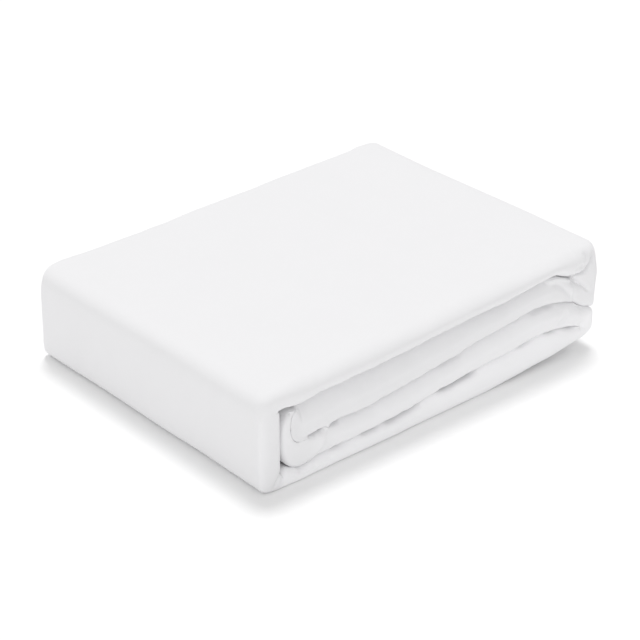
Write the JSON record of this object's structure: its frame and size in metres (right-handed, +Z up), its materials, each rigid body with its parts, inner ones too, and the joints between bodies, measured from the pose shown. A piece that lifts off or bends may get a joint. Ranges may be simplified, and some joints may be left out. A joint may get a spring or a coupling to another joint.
{
  "type": "folded mattress protector",
  "caption": "Folded white mattress protector: one thick soft strip turned back at the right end, wrapped round the left end, its rounded folded edges showing at the front.",
  "frame": {"origin": "middle of the bounding box, on the surface that the folded cloth rests on", "axes": "+Z up, +X along the long side from the wrapped left end to the turned right end, -Y towards the side that shows the folded edges"},
  "size_m": [0.3398, 0.263, 0.0872],
  "materials": {
    "cloth": "soft matt white knit"
  },
  "bodies": {
    "root": {"protector": "cloth"}
  },
  "joints": []
}
